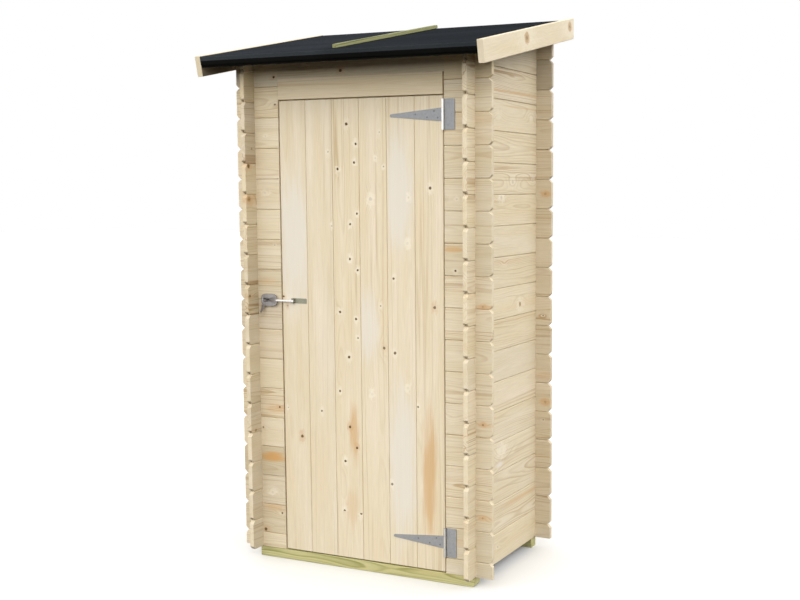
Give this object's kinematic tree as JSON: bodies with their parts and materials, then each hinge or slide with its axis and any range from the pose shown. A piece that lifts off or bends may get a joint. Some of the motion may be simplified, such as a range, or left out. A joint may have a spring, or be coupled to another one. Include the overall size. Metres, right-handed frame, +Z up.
{
  "type": "pent garden shed",
  "caption": "Narrow single-slope log-board garden shed with crossed wall ends, felted roof, barge boards and a ledged door on T-hinges with a hasp",
  "frame": {"origin": "on the ground under the middle of the roof's outline", "axes": "X runs along the door side with the hinges towards +X, Y runs from the door to the rear wall, Z is up"},
  "size_m": [1.239, 0.8744, 2.22],
  "materials": {
    "wall_timber": "planed untreated softwood",
    "door_timber": "planed untreated softwood with knots",
    "trim_timber": "planed untreated softwood",
    "rough_timber": "sawn untreated softwood",
    "treated_timber": "pressure treated softwood with a green tint",
    "roofing_felt": "mineral grit on bitumen felt, matt",
    "hinge_steel": "zinc plated, dulled",
    "pin_steel": "bright zinc plated",
    "hasp_steel": "zinc plated, dulled"
  },
  "bodies": {
    "shell": {"front_bearer": "treated_timber", "rear_bearer": "treated_timber", "floor_boards": "rough_timber", "left_side_wall": "wall_timber", "right_side_wall": "wall_timber", "front_wall_left": "wall_timber", "front_wall_right": "wall_timber", "front_top_board": "wall_timber", "door_header": "trim_timber", "rear_wall": "wall_timber", "left_door_post": "wall_timber", "right_door_post": "wall_timber", "head_batten": "wall_timber", "roof_boards": "rough_timber", "roof_felt": "roofing_felt", "eave_batten": "rough_timber", "left_barge_board": "trim_timber", "right_barge_board": "trim_timber", "roof_batten": "treated_timber", "top_hinge_plate": "hinge_steel", "bottom_hinge_plate": "hinge_steel", "top_hinge_pin": "pin_steel", "bottom_hinge_pin": "pin_steel", "hasp_staple": "hasp_steel"},
    "door": {"door_boards": "door_timber", "top_ledge": "door_timber", "middle_ledge": "door_timber", "bottom_ledge": "door_timber", "top_hinge_strap": "hinge_steel", "bottom_hinge_strap": "hinge_steel", "hasp_plate": "hasp_steel", "hasp_pin": "pin_steel"},
    "hasp": {"hasp_bar": "hasp_steel"}
  },
  "joints": [
    {"name": "door_swing", "type": "hinge", "parent": "shell", "child": "door", "pos_m": [0.369, -0.2543, 0.9765], "axis": [0, 0, 1], "range_deg": [0, 140]},
    {"name": "hasp_flip", "type": "hinge", "parent": "door", "child": "hasp", "pos_m": [-0.3085, -0.2598, 1.07], "axis": [0, 0, 1], "range_deg": [0, 170]}
  ]
}
